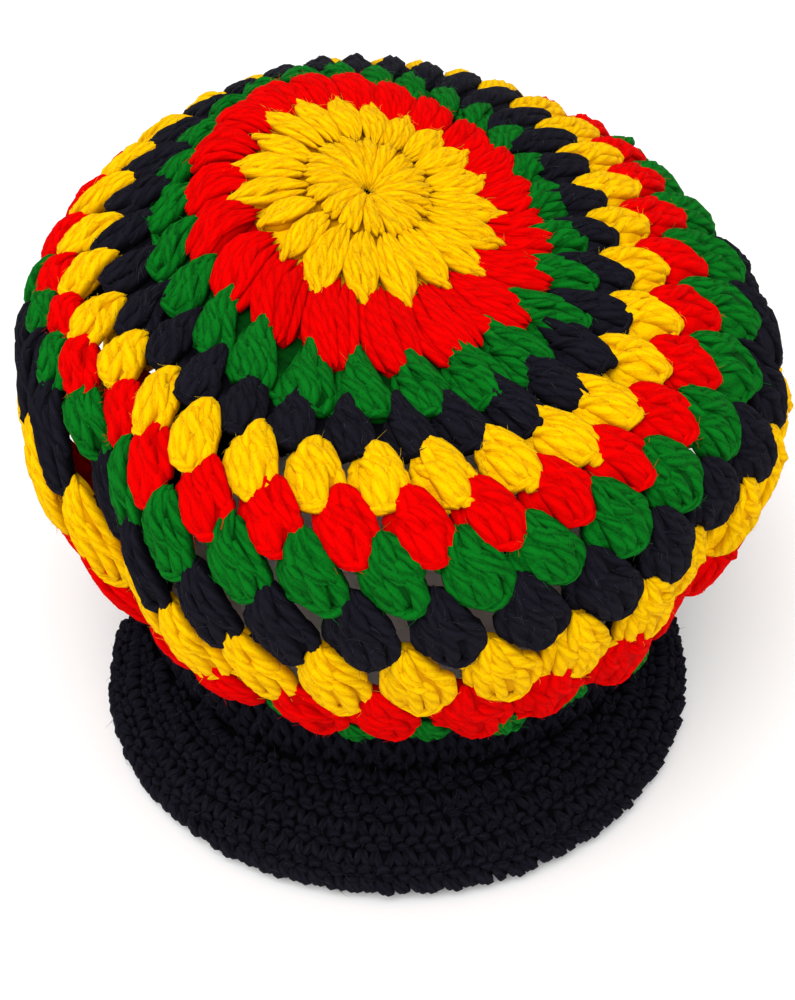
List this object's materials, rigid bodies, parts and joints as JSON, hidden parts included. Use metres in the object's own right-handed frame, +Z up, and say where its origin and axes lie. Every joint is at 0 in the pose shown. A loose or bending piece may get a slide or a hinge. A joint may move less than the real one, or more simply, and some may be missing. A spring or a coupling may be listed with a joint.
{
  "type": "crocheted peaked tam hat",
  "caption": "Slouchy crocheted tam with rounds of yellow, red, green and black cluster stitches, a ribbed black band that grips the head and a short black peak at the front.",
  "frame": {"origin": "middle of the hat's outline seen from above, on the surface that it rests on", "axes": "+Z up through the crown, -Y towards the tip of the peak, +X to the right of someone who faces the peak"},
  "size_m": [0.2404, 0.2812, 0.177],
  "materials": {
    "yellow_yarn": "matt crocheted yarn",
    "red_yarn": "matt crocheted yarn",
    "green_yarn": "matt crocheted yarn",
    "black_yarn": "matt crocheted yarn"
  },
  "bodies": {
    "root": {"yellow_centre": "yellow_yarn", "red_round_1": "red_yarn", "green_round_1": "green_yarn", "black_round_1": "black_yarn", "yellow_round_1": "yellow_yarn", "red_round_2": "red_yarn", "green_round_2": "green_yarn", "black_round_2": "black_yarn", "yellow_round_2": "yellow_yarn", "red_round_3": "red_yarn", "green_round_3": "green_yarn", "band": "black_yarn", "peak": "black_yarn"}
  },
  "joints": []
}
